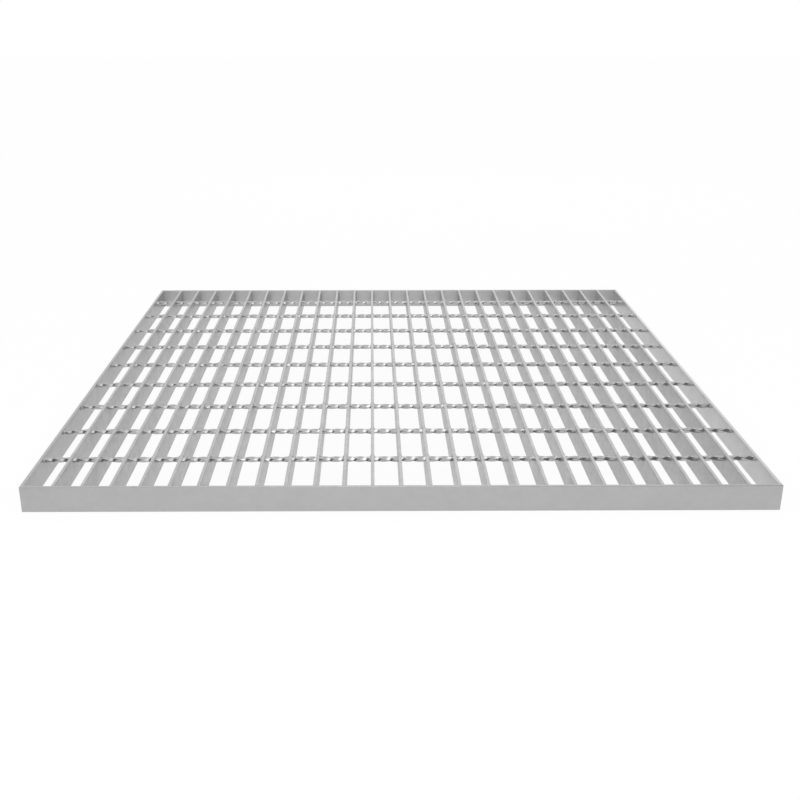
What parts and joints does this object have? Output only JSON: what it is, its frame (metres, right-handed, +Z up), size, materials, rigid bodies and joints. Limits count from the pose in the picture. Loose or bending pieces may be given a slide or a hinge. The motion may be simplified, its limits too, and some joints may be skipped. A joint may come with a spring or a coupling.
{
  "type": "steel grating panel",
  "caption": "Square welded bar grating panel: bearing bars on edge, twisted square cross rods and a flat-bar frame, hot-dip galvanised.",
  "frame": {"origin": "centre of the frame's underside, on the level the panel rests on", "axes": "+Z up through the walking surface, +Y along the bearing bars towards the back, +X to the right"},
  "size_m": [1, 1, 0.036],
  "materials": {
    "grid_steel": "hot-dip galvanised, dull light grey",
    "band_steel": "hot-dip galvanised, dull light grey"
  },
  "bodies": {
    "root": {"welded_grid": "grid_steel", "front_band": "band_steel", "back_band": "band_steel", "left_band": "band_steel", "right_band": "band_steel"}
  },
  "joints": []
}
